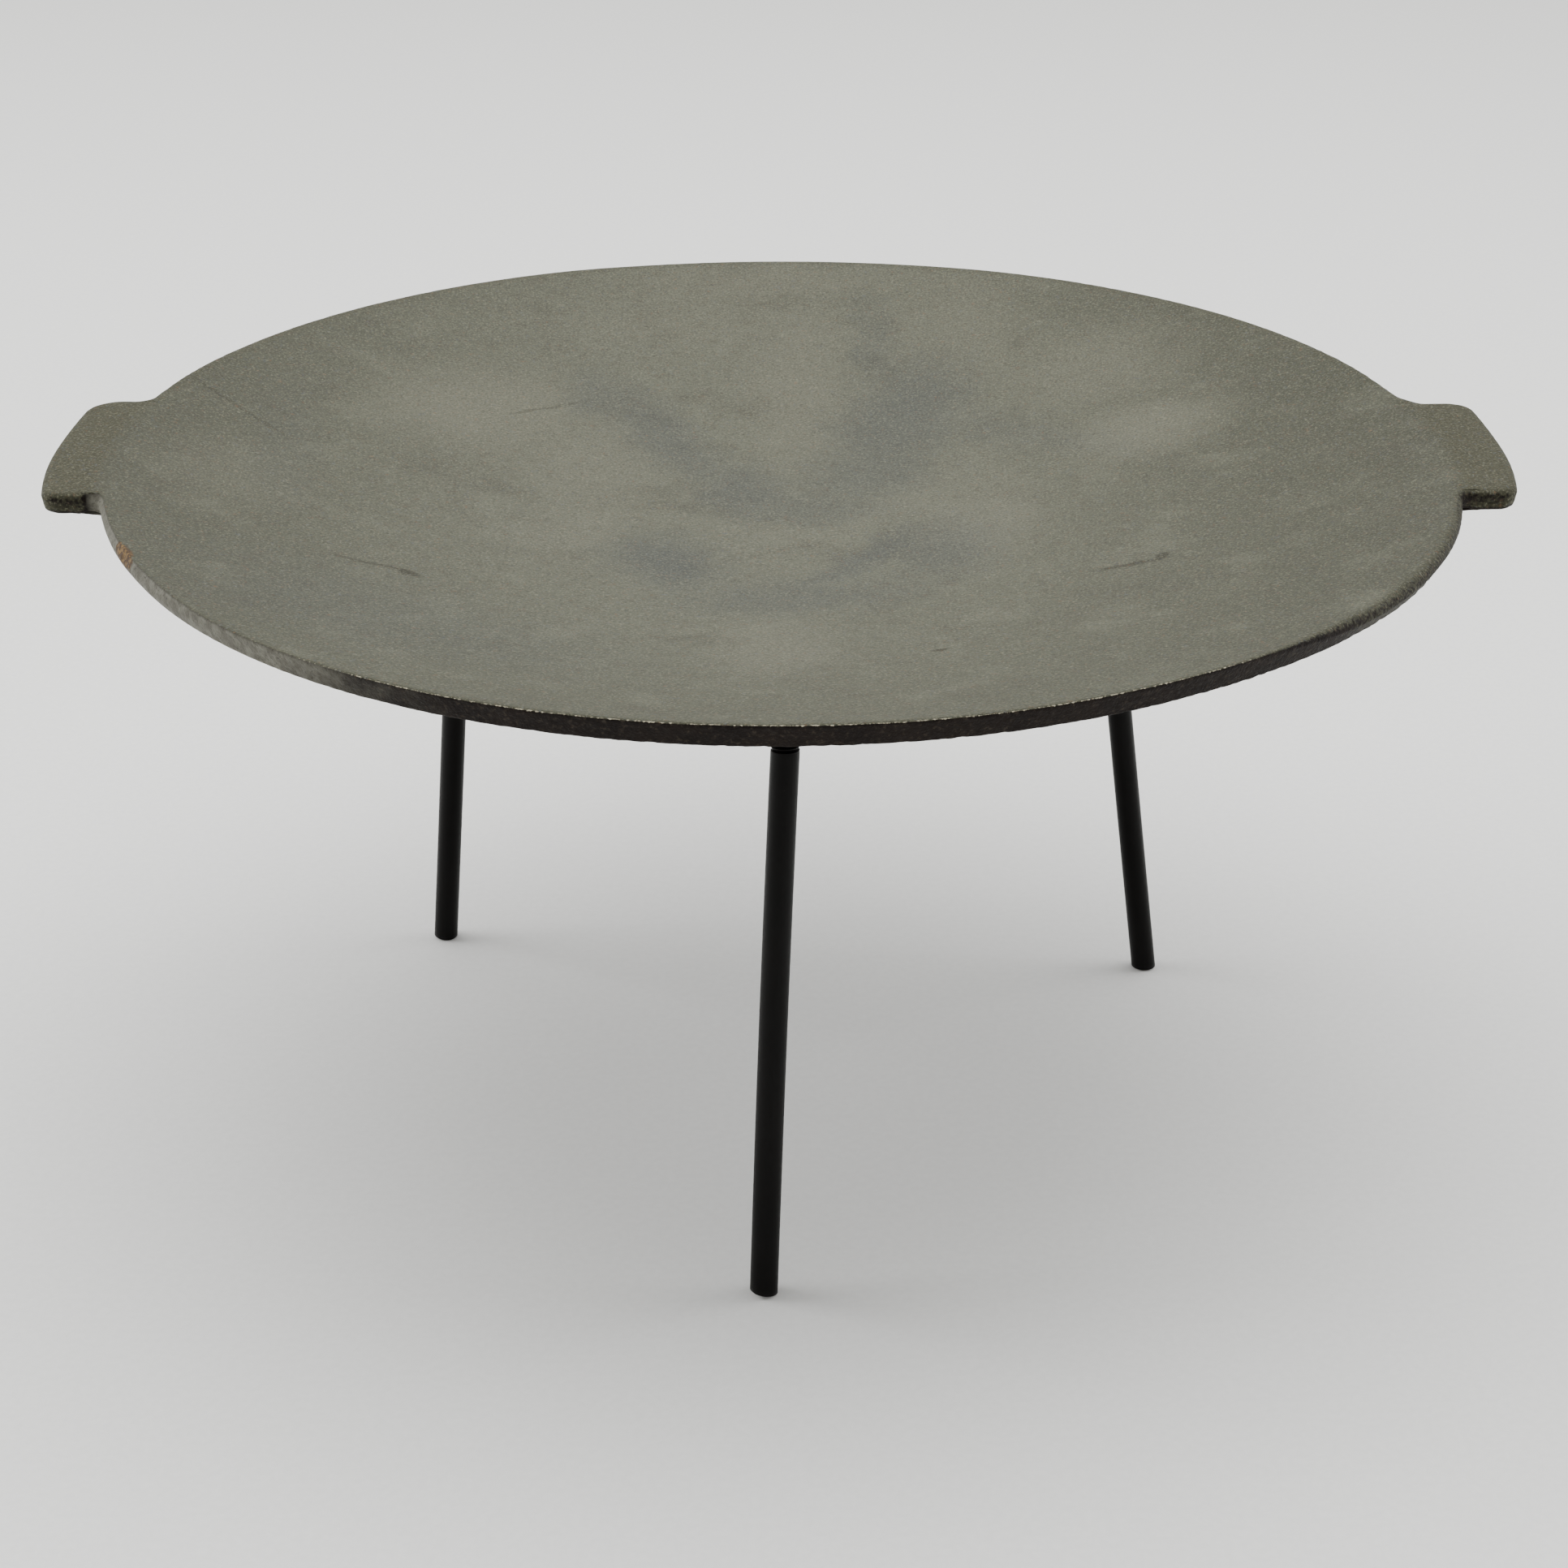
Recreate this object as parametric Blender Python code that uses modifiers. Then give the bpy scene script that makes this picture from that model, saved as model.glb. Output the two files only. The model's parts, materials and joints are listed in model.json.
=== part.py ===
"""A campfire griddle: one shallow cast-iron dish with two ear handles, on three screw-in steel legs.

Metres, +Z up. The origin is on the ground under the middle of the dish, and +X runs through the ears.
The dish is one casting: its wall, its ears and the three tapped bosses under it. Each leg is a steel bar
with a threaded end that screws up into a boss, and its foot is as the saw left it.
"""

import math

import bmesh
import bpy
from mathutils import Matrix, Quaternion, Vector

COLLECTION = "campfire_griddle"

# The dish
RIM_HEIGHT = 0.256  # ground to the top of the rim
DISH_RADIUS = 0.250
DISH_DEPTH = 0.038  # top of the rim to the lowest point of the bowl
RIM_WALL = 0.0074  # height of the rim's outer wall
RIM_DRAFT = 0.0026  # how far the wall leans in, so that the casting leaves the sand
RIM_EDGE = 0.0008  # worn corner on the rim's upper and lower edges
RIM_LIP = 0.0016  # flat ring between the bowl and the rim's outer edge
FLOOR_THICKNESS = 0.0075  # iron under the middle of the bowl

# The ears
EAR_REACH = 0.2706  # dish centre to the middle of an ear's outer edge
EAR_HALF_WIDTH = 0.0515
EAR_BOW = 0.0045  # how far the outer edge bulges between its corners
EAR_CORNER = 0.0090
EAR_FILLET = 0.008  # radius where an ear's side meets the rim
EAR_THICKNESS = 0.0077
EAR_STEP = 0.0003  # how far an ear's top lies below the rim's lip
EAR_ROOT = 0.008  # how far an ear runs on into the dish's wall

# The legs and the bosses that hold them
BOSS_CIRCLE = 0.1487  # radius of the circle that the legs' shoulders lie on
SHOULDER_DROP = 0.0562  # top of the rim to the shoulder, where the bar's full diameter starts
BAR_DIAMETER = 0.0100
BAR_CHAMFER = 0.0003
STUD_DIAMETER = 0.0094  # mean diameter of the M10 thread on the leg
STUD_CHAMFER = 0.0010
NECK_LENGTH = 0.0050  # bare thread between the shoulder and the boss
THREAD_ENGAGEMENT = 0.015
BORE_DIAMETER = 0.0100  # mean diameter of the boss's thread, with clearance
BORE_DEPTH = 0.0185
BOSS_LENGTH = 0.0225
BOSS_FACE_RADIUS = 0.0088
BOSS_ROOT_RADIUS = 0.0120
SAW_SKEW = math.radians(7.0)

# name: (angle of its boss round the dish, its tilt, the direction it leans in, the saw's skew)
LEGS = {
    "front": (math.radians(-89.0), math.radians(8.4), math.radians(-104.9), SAW_SKEW),
    "right": (math.radians(28.9), math.radians(7.8), math.radians(-19.9), SAW_SKEW),
    "left": (math.radians(149.5), math.radians(6.3), math.radians(139.9), 0.0),
}

ROUND_STEPS = 96  # facets round the dish
BAR_STEPS = 24
BOSS_STEPS = 24
ARC_STEPS = 5  # segments in each rounded corner of an ear
CAP_RINGS = 9  # rings between the middle and the edge of the dish
SMOOTH_ANGLE = math.radians(35)
MERGE = 0.00001
UP = Vector((0, 0, 1))


# Setting up


def clear_scene():
    for old in list(bpy.data.objects):
        bpy.data.objects.remove(old)


def new_collection(name):
    collection = bpy.data.collections.new(name)
    bpy.context.scene.collection.children.link(collection)
    return collection


def make_material(name, colour, roughness, metallic):
    material = bpy.data.materials.new(name)
    material.use_nodes = True
    shader = material.node_tree.nodes["Principled BSDF"]
    shader.inputs["Base Color"].default_value = (*colour, 1)
    shader.inputs["Roughness"].default_value = roughness
    shader.inputs["Metallic"].default_value = metallic
    return material


def hide(helper):
    """Makes an object that only shapes another one."""
    helper.hide_render = True
    helper.display_type = "WIRE"
    return helper


# Turned and flat shapes


def turned(name, profile, steps, collection):
    """A solid of revolution about its own Z, from (radius, height) points that run down its outside."""
    mesh = bpy.data.meshes.new(name)
    points = [(radius, 0, height) for radius, height in profile]
    mesh.from_pydata(points, [(i, i + 1) for i in range(len(points) - 1)], [])
    body = bpy.data.objects.new(name, mesh)
    collection.objects.link(body)
    screw = body.modifiers.new("turn", "SCREW")
    screw.axis = "Z"
    screw.steps = screw.render_steps = steps
    screw.use_merge_vertices = True
    screw.merge_threshold = MERGE
    screw.use_smooth_shade = True
    return body


def plate(name, outline, thickness, collection):
    """A flat plate of this outline, centred on z = 0, as a mesh."""
    curve = bpy.data.curves.new(name, "CURVE")
    curve.dimensions = "2D"
    curve.fill_mode = "BOTH"
    curve.extrude = thickness / 2
    spline = curve.splines.new("POLY")
    spline.points.add(len(outline) - 1)
    for point, (x, y) in zip(spline.points, outline):
        point.co = (x, y, 0, 1)
    spline.use_cyclic_u = True
    drawn = bpy.data.objects.new(name + "_outline", curve)
    collection.objects.link(drawn)
    bpy.context.view_layer.update()
    mesh = bpy.data.meshes.new_from_object(drawn.evaluated_get(bpy.context.evaluated_depsgraph_get()))
    bpy.data.objects.remove(drawn)
    edit = bmesh.new()
    edit.from_mesh(mesh)
    bmesh.ops.remove_doubles(edit, verts=edit.verts, dist=MERGE)
    bmesh.ops.recalc_face_normals(edit, faces=edit.faces)
    edit.to_mesh(mesh)
    edit.free()
    solid = bpy.data.objects.new(name, mesh)
    collection.objects.link(solid)
    return solid


def arc(centre, radius, start, end, steps=ARC_STEPS):
    """Points from angle start to angle end round centre."""
    angles = [start + (end - start) * i / steps for i in range(steps + 1)]
    return [(centre[0] + radius * math.cos(a), centre[1] + radius * math.sin(a)) for a in angles]


def boolean(body, tool, operation):
    change = body.modifiers.new(tool.name, "BOOLEAN")
    change.operation = operation
    change.solver = "EXACT"
    change.object = tool


# The dish


def cap_radius(half_width, rise):
    """Radius of the sphere whose cap is this wide and this deep."""
    return (half_width**2 + rise**2) / (2 * rise)


def cap_profile(half_width, bottom, rise):
    """(radius, height) points of a spherical cap, from its edge in to its lowest point."""
    sphere = cap_radius(half_width, rise)
    radii = [half_width * (1 - i / CAP_RINGS) for i in range(CAP_RINGS + 1)]
    return [(r, bottom + sphere - math.sqrt(sphere**2 - r**2)) for r in radii]


def make_dish_blank(collection):
    """The dish before its bowl is hollowed: flat on top, with its rim wall and domed underside."""
    low_radius = DISH_RADIUS - RIM_DRAFT
    low_edge = RIM_HEIGHT - RIM_WALL
    bottom = RIM_HEIGHT - DISH_DEPTH - FLOOR_THICKNESS
    rim = [
        (0, RIM_HEIGHT),
        (DISH_RADIUS - RIM_EDGE, RIM_HEIGHT),
        (DISH_RADIUS, RIM_HEIGHT - RIM_EDGE),
        (low_radius, low_edge + RIM_EDGE),
    ]
    under = cap_profile(low_radius - RIM_EDGE, bottom, low_edge - bottom)
    return turned("dish", rim + under, ROUND_STEPS, collection)


def make_bowl_cutter(collection):
    """What is hollowed out of the dish: a spherical cap that runs on above the rim."""
    mouth = DISH_RADIUS - RIM_LIP
    sphere = cap_radius(mouth, DISH_DEPTH)
    bottom = RIM_HEIGHT - DISH_DEPTH
    height = DISH_DEPTH + RIM_WALL
    top_radius = math.sqrt(sphere**2 - (sphere - height) ** 2)
    profile = [(0, bottom + height)] + cap_profile(top_radius, bottom, height)
    return hide(turned("bowl_cutter", profile, ROUND_STEPS, collection))


def ear_side(sign):
    """The outline of one half of an ear, from the rim out to the middle of the ear's outer edge."""
    reach = DISH_RADIUS + EAR_FILLET
    fillet_y = EAR_HALF_WIDTH + EAR_FILLET
    fillet_x = math.sqrt(reach**2 - fillet_y**2)
    bow_radius = cap_radius(EAR_HALF_WIDTH, EAR_BOW)
    bow_x = EAR_REACH - bow_radius
    corner_y = EAR_HALF_WIDTH - EAR_CORNER
    corner_x = bow_x + math.sqrt((bow_radius - EAR_CORNER) ** 2 - corner_y**2)
    bow_angle = math.atan2(corner_y, corner_x - bow_x)
    rim_angle = math.atan2(fillet_y, fillet_x)
    inner = DISH_RADIUS - EAR_ROOT
    points = [(inner * math.cos(rim_angle), inner * math.sin(rim_angle))]
    points += arc((fillet_x, fillet_y), EAR_FILLET, rim_angle + math.pi, 1.5 * math.pi)
    points += arc((corner_x, corner_y), EAR_CORNER, 0.5 * math.pi, bow_angle)
    points += arc((bow_x, 0), bow_radius, bow_angle, 0)[1:]
    return [(x, sign * y) for x, y in points]


def make_ear(name, angle, collection):
    outline = ear_side(-1)[:-1] + ear_side(1)[::-1]
    ear = plate(name, outline, EAR_THICKNESS, collection)
    top = RIM_HEIGHT - EAR_STEP
    place = Matrix.Translation((0, 0, top - EAR_THICKNESS / 2)) @ Matrix.Rotation(angle, 4, "Z")
    ear.matrix_world = place
    return hide(ear)


# The legs' places


def shoulder_point(name):
    angle = LEGS[name][0]
    return Vector(
        (BOSS_CIRCLE * math.cos(angle), BOSS_CIRCLE * math.sin(angle), RIM_HEIGHT - SHOULDER_DROP)
    )


def leg_direction(name):
    """Unit vector down the leg."""
    _, tilt, lean, _ = LEGS[name]
    return Vector(
        (math.sin(tilt) * math.cos(lean), math.sin(tilt) * math.sin(lean), -math.cos(tilt))
    )


def foot_normal(name):
    """Outward normal of the sawn foot, which the skew turns towards -X."""
    skew = LEGS[name][3]
    down = leg_direction(name)
    across = (Vector((-1, 0, 0)) - down * down.dot(Vector((-1, 0, 0)))).normalized()
    return (down * math.cos(skew) + across * math.sin(skew)).normalized()


def leg_length(name):
    """Shoulder to the middle of the foot, so that the foot's lowest point is on the ground."""
    down, normal = leg_direction(name), foot_normal(name)
    slope = UP - normal * (down.z / down.dot(normal))
    foot_height = slope.length * BAR_DIAMETER / 2
    return (shoulder_point(name).z - foot_height) / -down.z


def along_leg(name):
    """Turns local -Z to point down the leg."""
    return (-leg_direction(name)).to_track_quat("Z", "Y")


def placed(helper, point, rotation):
    helper.rotation_mode = "QUATERNION"
    helper.rotation_quaternion = rotation
    helper.location = point
    return helper


def make_boss(name, collection):
    """A tapered lug under the dish, square to its leg, with its root inside the dish's wall."""
    profile = [
        (0, NECK_LENGTH + BOSS_LENGTH),
        (BOSS_ROOT_RADIUS, NECK_LENGTH + BOSS_LENGTH),
        (BOSS_FACE_RADIUS, NECK_LENGTH),
        (0, NECK_LENGTH),
    ]
    boss = turned("boss_" + name, profile, BOSS_STEPS, collection)
    return hide(placed(boss, shoulder_point(name), along_leg(name)))


def make_bore_cutter(name, collection):
    """The tapped hole in a boss, with the drill's cone at its end. Its corners lie between the boss's."""
    radius = BORE_DIAMETER / 2
    top = NECK_LENGTH + BORE_DEPTH
    profile = [(0, top), (radius, top - radius / 2), (radius, 0), (0, 0)]
    bore = turned("bore_" + name, profile, BAR_STEPS, collection)
    half_step = Quaternion(UP, math.pi / BAR_STEPS)
    return hide(placed(bore, shoulder_point(name), along_leg(name) @ half_step))


def make_dish(collection, helpers, iron):
    dish = make_dish_blank(collection)
    dish.data.materials.append(iron)
    added = [make_ear("ear_right", 0, helpers), make_ear("ear_left", math.pi, helpers)]
    added += [make_boss(name, helpers) for name in LEGS]
    removed = [make_bowl_cutter(helpers)] + [make_bore_cutter(name, helpers) for name in LEGS]
    for tool in added:
        boolean(dish, tool, "UNION")
    for tool in removed:
        boolean(dish, tool, "DIFFERENCE")
    return dish


# The legs


def make_saw_cutter(name, collection):
    """A block under the foot whose top face is the saw's cut."""
    size = 4 * BAR_DIAMETER
    bpy.ops.mesh.primitive_cube_add(size=size)
    block = bpy.context.object
    block.name = block.data.name = "saw_" + name
    for old in block.users_collection:
        old.objects.unlink(block)
    collection.objects.link(block)
    normal = foot_normal(name)
    foot = shoulder_point(name) + leg_direction(name) * leg_length(name)
    return hide(placed(block, foot + normal * size / 2, (-normal).to_track_quat("Z", "Y")))


def make_leg(name, collection, helpers, steel):
    bar, stud = BAR_DIAMETER / 2, STUD_DIAMETER / 2
    top = NECK_LENGTH + THREAD_ENGAGEMENT
    bottom = -leg_length(name) - BAR_DIAMETER / 2
    profile = [
        (0, top),
        (stud - STUD_CHAMFER, top),
        (stud, top - STUD_CHAMFER),
        (stud, 0),
        (bar - BAR_CHAMFER, 0),
        (bar, -BAR_CHAMFER),
        (bar, bottom),
        (0, bottom),
    ]
    leg = turned("leg_" + name, profile, BAR_STEPS, collection)
    placed(leg, shoulder_point(name), along_leg(name))
    leg.data.materials.append(steel)
    boolean(leg, make_saw_cutter(name, helpers), "DIFFERENCE")
    return leg


def main():
    clear_scene()
    parts = new_collection(COLLECTION)
    helpers = new_collection("shaping_helpers")
    helpers.hide_render = True
    iron = make_material("cast_iron", (0.200, 0.200, 0.165), 0.75, 0.3)
    steel = make_material("black_steel", (0.010, 0.009, 0.008), 0.45, 0.5)
    make_dish(parts, helpers, iron)
    for name in LEGS:
        make_leg(name, parts, helpers, steel)


main()
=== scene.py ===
"""Looks for the campfire griddle: a sand-cast iron dish on three screw-in legs of black steel bar.

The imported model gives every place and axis. The dish is rebuilt as one casting with rounded edges, cast
fillets, a sandy skin and tapped bosses. Each leg is rebuilt as a round bar with a cut M10 thread and a sawn
foot. Lengths are in metres, written as so many MM.
"""

import json
import math

import bmesh
import bpy
import numpy as np
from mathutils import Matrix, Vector, noise


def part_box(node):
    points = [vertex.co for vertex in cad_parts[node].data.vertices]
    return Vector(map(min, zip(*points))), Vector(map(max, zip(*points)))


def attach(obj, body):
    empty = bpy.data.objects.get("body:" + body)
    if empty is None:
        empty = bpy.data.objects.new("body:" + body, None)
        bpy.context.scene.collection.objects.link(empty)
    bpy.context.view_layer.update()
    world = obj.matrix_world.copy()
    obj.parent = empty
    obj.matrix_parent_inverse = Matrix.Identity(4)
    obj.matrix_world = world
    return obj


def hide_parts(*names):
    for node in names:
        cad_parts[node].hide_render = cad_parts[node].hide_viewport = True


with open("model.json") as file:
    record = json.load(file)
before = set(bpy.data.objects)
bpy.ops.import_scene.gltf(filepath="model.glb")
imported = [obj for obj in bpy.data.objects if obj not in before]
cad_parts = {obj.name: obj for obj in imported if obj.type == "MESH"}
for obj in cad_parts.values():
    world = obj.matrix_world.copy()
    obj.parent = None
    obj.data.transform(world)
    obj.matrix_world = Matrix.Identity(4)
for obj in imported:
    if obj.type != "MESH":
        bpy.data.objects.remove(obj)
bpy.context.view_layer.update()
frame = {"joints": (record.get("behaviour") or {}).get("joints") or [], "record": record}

MM = 0.001
TURN = 2 * math.pi

# The dish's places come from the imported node: its box's far corner.
DISH_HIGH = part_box("dish")[1]
RIM_TOP = DISH_HIGH.z
RIM_RADIUS = DISH_HIGH.y

# The bowl and its wall
RIM_LIP = 1.6 * MM
BOWL_DEPTH = 38 * MM
FLOOR_THICKNESS = 7.5 * MM
RIM_WALL = 8.4 * MM
EAR_UNDERSIDE = RIM_TOP - 8 * MM

# The draft of the wall and the rounding of its edges, at the rim and at the ears
RIM_DRAFT, EAR_DRAFT = 2.6 * MM, 0.6 * MM
RIM_TOP_EDGE, EAR_TOP_EDGE = 0.8 * MM, 2.4 * MM
RIM_LOW_EDGE, EAR_LOW_EDGE = 1.1 * MM, 2.2 * MM
RIM_CREASE, EAR_CREASE = 0.3 * MM, 1.6 * MM
UNDER_FILLET = 2.2 * MM
# The rim's section has turned into the ear's this far outside the rim.
EAR_ROOT = 6 * MM

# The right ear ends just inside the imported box, and the left one was cast a little shorter.
EAR_REACH = DISH_HIGH.x - 0.1 * MM
LEFT_EAR_SHORT = 1.2 * MM

# Each quarter of the outline, in the order that the edge is walked:
# (side, end, reach, half width, bow, fillet, corner)
EAR_QUARTERS = (
    (1, 1, EAR_REACH, 52.4 * MM, 2.7 * MM, 10 * MM, 10 * MM),
    (-1, 1, EAR_REACH - LEFT_EAR_SHORT, 55.1 * MM, 3.3 * MM, 4 * MM, 14 * MM),
    (-1, -1, EAR_REACH - LEFT_EAR_SHORT, 51.5 * MM, 5.5 * MM, 4 * MM, 7 * MM),
    (1, -1, EAR_REACH, 47.6 * MM, 5.0 * MM, 4 * MM, 8 * MM),
)

# The rim came out of the mould not quite round: direction in degrees, and how far out or in it runs in mm
OUT_OF_ROUND = (
    (0, 0.0), (11, 0.0), (15, -1.9), (22, 0.2), (30, 0.8), (40, 2.8), (60, 3.9), (76, -0.4), (90, -1.2),
    (103, -0.8), (120, 2.8), (140, 2.3), (150, 1.7), (158, 1.4), (166, -0.2), (170, 0.0), (190, 0.0),
    (195, -1.0), (225, -1.0), (238, -0.5), (246, 0.0), (288, 0.0), (296, -1.0), (304, -1.0), (311, 0.0),
    (318, 1.0), (327, 1.9), (340, 1.6), (350, 0.2), (360, 0.0),
)

# A stretch of the rim is four directions in degrees: where it sets in, is full, starts to fade and has ended.
# The left front was ground back after casting. The cut is deepest at the top edge and least at the foot of
# the wall, and bulges between them. The pale iron shows a little further on than the cut: partly clean
# ground iron, partly painted light where the left lamp falls on this side of the wall.
GROUND_CUT = (-175, -171, -151, -133)
GROUND_AND_LIT_LOOK = (-175, -172, -133, -115)
GROUND_BACK = 2.5 * MM
GROUND_UNDER = 0.6 * MM
GROUND_BULGE = 1.6 * MM

# The top edge at the right front is rubbed round, by this much more than elsewhere. Along it the wall
# keeps less skin and is painted lighter: partly rubbed iron, partly painted light from the right lamp.
RUBBED_ROUND = (-54, -36, -13, -8)
SOFT_EDGE = 2.8 * MM

# The top edge is rubbed bright in front, and less elsewhere. The pale edge is partly wear and partly a
# painted highlight, strongest along the front.
RUBBED_BRIGHT_AND_HIGHLIT = (-136, -118, -62, -40)
BRIGHT_ELSEWHERE = 0.35
BRIGHT_ON_EARS = 0.4

# How much of the burnt-on skin is left: all of it on the rim's wall, and these shares elsewhere. On the
# ears' walls the dark skin is painted shade, with more of it on the walls that face the front. On the rubbed
# right front, the lighter wall is partly painted light.
EAR_SIDE_SHADE, EAR_FRONT_SHADE, RUBBED_SKIN_AND_LIGHT = 0.25, 0.47, 0.4

# How finely the casting is meshed: points round its edge, and over how many of them its unevenness and the
# directions of its spokes are evened out. The rings follow the edge down to the collar, and are circles
# inside it, with half the points from there to halfway and a quarter of them in the middle.
EDGE_POINTS = 1200
UNEVEN_OVER, SPOKES_OVER = 14, 12
COLLAR = RIM_RADIUS - 10 * MM
HALFWAY = 120 * MM

# The legs, their thread and the bosses
PITCH = 1.5 * MM
SHOULDER_HEIGHT = RIM_TOP - 56.2 * MM
NECK = 5 * MM
STUD_TOP = NECK + 15 * MM
BAR_RADIUS = 5 * MM
THREAD_CREST, THREAD_ROOT = 4.93 * MM, 4.05 * MM
TAP_CREST, TAP_ROOT = 5.04 * MM, 4.32 * MM
# The flats on crest and root, as shares of the pitch
THREAD_FLATS = (0.13, 0.25)
TAP_FLATS = (0.25, 0.12)
# How far round the leg the thread starts, as a share of a turn
THREAD_TURNED = 0.733
THREAD_RUN_OUT = (0.2 * MM, 2.0 * MM)
TIP_RADIUS = THREAD_ROOT - 0.2 * MM
BOSS_SIDES = 48
BOSS_FACE_RADIUS = 8.8 * MM
BOSS_ROOT_RADIUS = 12 * MM
BOSS_LENGTH = 22.5 * MM
BOSS_FILLET = 5 * MM
BOSS_EDGE = 1.2 * MM
BORE_TOP = NECK + 18.5 * MM
BORE_THREAD_LOW = NECK + 0.6 * MM
BORE_MOUTH = TAP_CREST + 0.1 * MM
COUNTERSINK = 0.4 * MM
LEG_SIDES = 64
LEG_BOW = {"front": 0.35 * MM, "right": 0.15 * MM, "left": -0.15 * MM}
FOOT_BLEND = 8 * MM
FOOT_CHAMFER = 0.35 * MM
FOOT_RINGS = (BAR_RADIUS - FOOT_CHAMFER, 3.2 * MM, 1.5 * MM)

# What the sand left: how wide its lumps and its swells are, and how deep they reach
LUMP_WIDTH, SWELL_WIDTH = 2.6 * MM, 38 * MM
BOWL_LUMPS, SKIN_LUMPS, RUBBED_LUMPS, SWELLS = 0.06 * MM, 0.42 * MM, 0.3 * MM, 0.15 * MM

# Rusty chips in the ground wall: direction in degrees, how far down the wall, how wide and how deep
CHIPS = (
    (-156.8, 1.8 * MM, 1.6 * MM, 0.3 * MM),
    (-155.8, 2.2 * MM, 2.2 * MM, 0.5 * MM),
    (-154.8, 2.5 * MM, 2.6 * MM, 0.8 * MM),
    (-153.9, 2.5 * MM, 2.2 * MM, 0.6 * MM),
    (-153.0, 2.4 * MM, 1.3 * MM, 0.3 * MM),
)
CHIPPED_RADIUS = RIM_RADIUS - 2.2 * MM


def ease(low, high, value):
    """0 below low, 1 above high, and smooth between."""
    share = np.clip((value - low) / (high - low), 0, 1)
    return share * share * (3 - 2 * share)


def along(stretch, directions):
    """1 along a stretch of the rim and 0 outside it, with smooth ends."""
    sets_in, full, fades, ended = stretch
    return ease(sets_in, full, directions) * (1 - ease(fades, ended, directions))


def blend(start, end, share):
    """From start, where share is 0, to end, where it is 1."""
    return start + (end - start) * share


# The outline of the casting, seen from above


def bend(centre, radius, start, end, step=0.2 * MM):
    """Points along an arc from angle start to angle end."""
    count = max(2, int(abs(end - start) * radius / step))
    angles = np.linspace(start, end, count)
    return np.stack([centre[0] + radius * np.cos(angles), centre[1] + radius * np.sin(angles)], 1)


def ear_quarter(reach, half_width, bow, fillet, corner):
    """From the middle of an ear's outer edge round its corner and fillet to where it meets the rim."""
    bow_radius = (half_width**2 + bow**2) / (2 * bow)
    bow_x = reach - bow_radius
    corner_y = half_width - corner
    corner_x = bow_x + math.sqrt((bow_radius - corner) ** 2 - corner_y**2)
    turn = math.atan2(corner_y, corner_x - bow_x)
    fillet_y = half_width + fillet
    fillet_x = math.sqrt((RIM_RADIUS + fillet) ** 2 - fillet_y**2)
    meets_rim = math.atan2(fillet_y, fillet_x)
    outer = bend((bow_x, 0), bow_radius, 0, turn)
    round_corner = bend((corner_x, corner_y), corner, turn, math.pi / 2)
    into_rim = bend((fillet_x, fillet_y), fillet, 1.5 * math.pi, math.pi + meets_rim)
    return np.concatenate([outer, round_corner, into_rim]), meets_rim


def smooth_round(values, width):
    """Values round the edge, each averaged with its neighbours on both sides."""
    reach = np.arange(-3 * width, 3 * width + 1)
    weights = np.exp(-((reach / width) ** 2))
    wrapped = np.concatenate([values[-3 * width :], values, values[: 3 * width]])
    return np.convolve(wrapped, weights / weights.sum(), "valid")


def casting_outline():
    """The whole edge as evenly spaced points, anticlockwise from the middle of the right ear."""
    path = []
    rim_from = 0
    for side, end, *shape in EAR_QUARTERS:
        quarter, meets_rim = ear_quarter(*shape)
        quarter = quarter * (side, end)
        if side == end:
            rim_from = meets_rim if side > 0 else math.pi + meets_rim
            path.append(quarter)
        else:
            rim_to = math.pi - meets_rim if side < 0 else TURN - meets_rim
            path.append(bend((0, 0), RIM_RADIUS, rim_from, rim_to)[1:-1])
            path.append(quarter[::-1])
    path = np.concatenate(path)
    path = np.concatenate([path, path[:1]])
    walked = np.concatenate([[0], np.cumsum(np.linalg.norm(np.diff(path, axis=0), axis=1))])
    stops = np.arange(EDGE_POINTS) / EDGE_POINTS * walked[-1]
    edge = np.stack([np.interp(stops, walked, path[:, axis]) for axis in (0, 1)], 1)
    directions = np.degrees(np.arctan2(edge[:, 1], edge[:, 0])) % 360
    known, drift = np.transpose(OUT_OF_ROUND)
    drift = MM * smooth_round(np.interp(directions, known, drift), UNEVEN_OVER)
    return edge * (1 + drift / np.linalg.norm(edge, axis=1))[:, None]


def outward(edge):
    """Unit vectors that point out of the outline at each of its points."""
    forward = np.roll(edge, -1, 0) - np.roll(edge, 1, 0)
    out = np.stack([forward[:, 1], -forward[:, 0]], 1)
    return out / np.linalg.norm(out, axis=1)[:, None]


# The casting's surfaces, as heights over the distance from the middle


def cap(radius_there, half_width, low, rise):
    """Height of a spherical cap this wide and deep."""
    sphere = (half_width**2 + rise**2) / (2 * rise)
    return low + sphere - np.sqrt(sphere**2 - radius_there**2)


def bowl_height(radius_there):
    return cap(radius_there, RIM_RADIUS - RIM_LIP, RIM_TOP - BOWL_DEPTH, BOWL_DEPTH)


def top_height(radius_there, crease):
    """The bowl, rounded over into the flat top of the lip and the ears."""
    depth = RIM_TOP - bowl_height(radius_there)
    return RIM_TOP - (depth + np.sqrt(depth**2 + crease**2)) / 2


def under_height(radius_there):
    low = RIM_TOP - BOWL_DEPTH - FLOOR_THICKNESS
    return cap(radius_there, RIM_RADIUS - RIM_DRAFT, low, RIM_TOP - RIM_WALL - low)


def bottom_height(radius_there, ear):
    """The underside, filleted into the flat underside of the ears where ear is 1."""
    dome = under_height(radius_there)
    over = dome - EAR_UNDERSIDE
    filleted = dome - (over + np.sqrt(over**2 + UNDER_FILLET**2)) / 2
    return blend(dome, filleted, ear)


# The casting's mesh: rings of points, each with how much skin and painted shade, and how much wear and
# painted highlight, it shows


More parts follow.
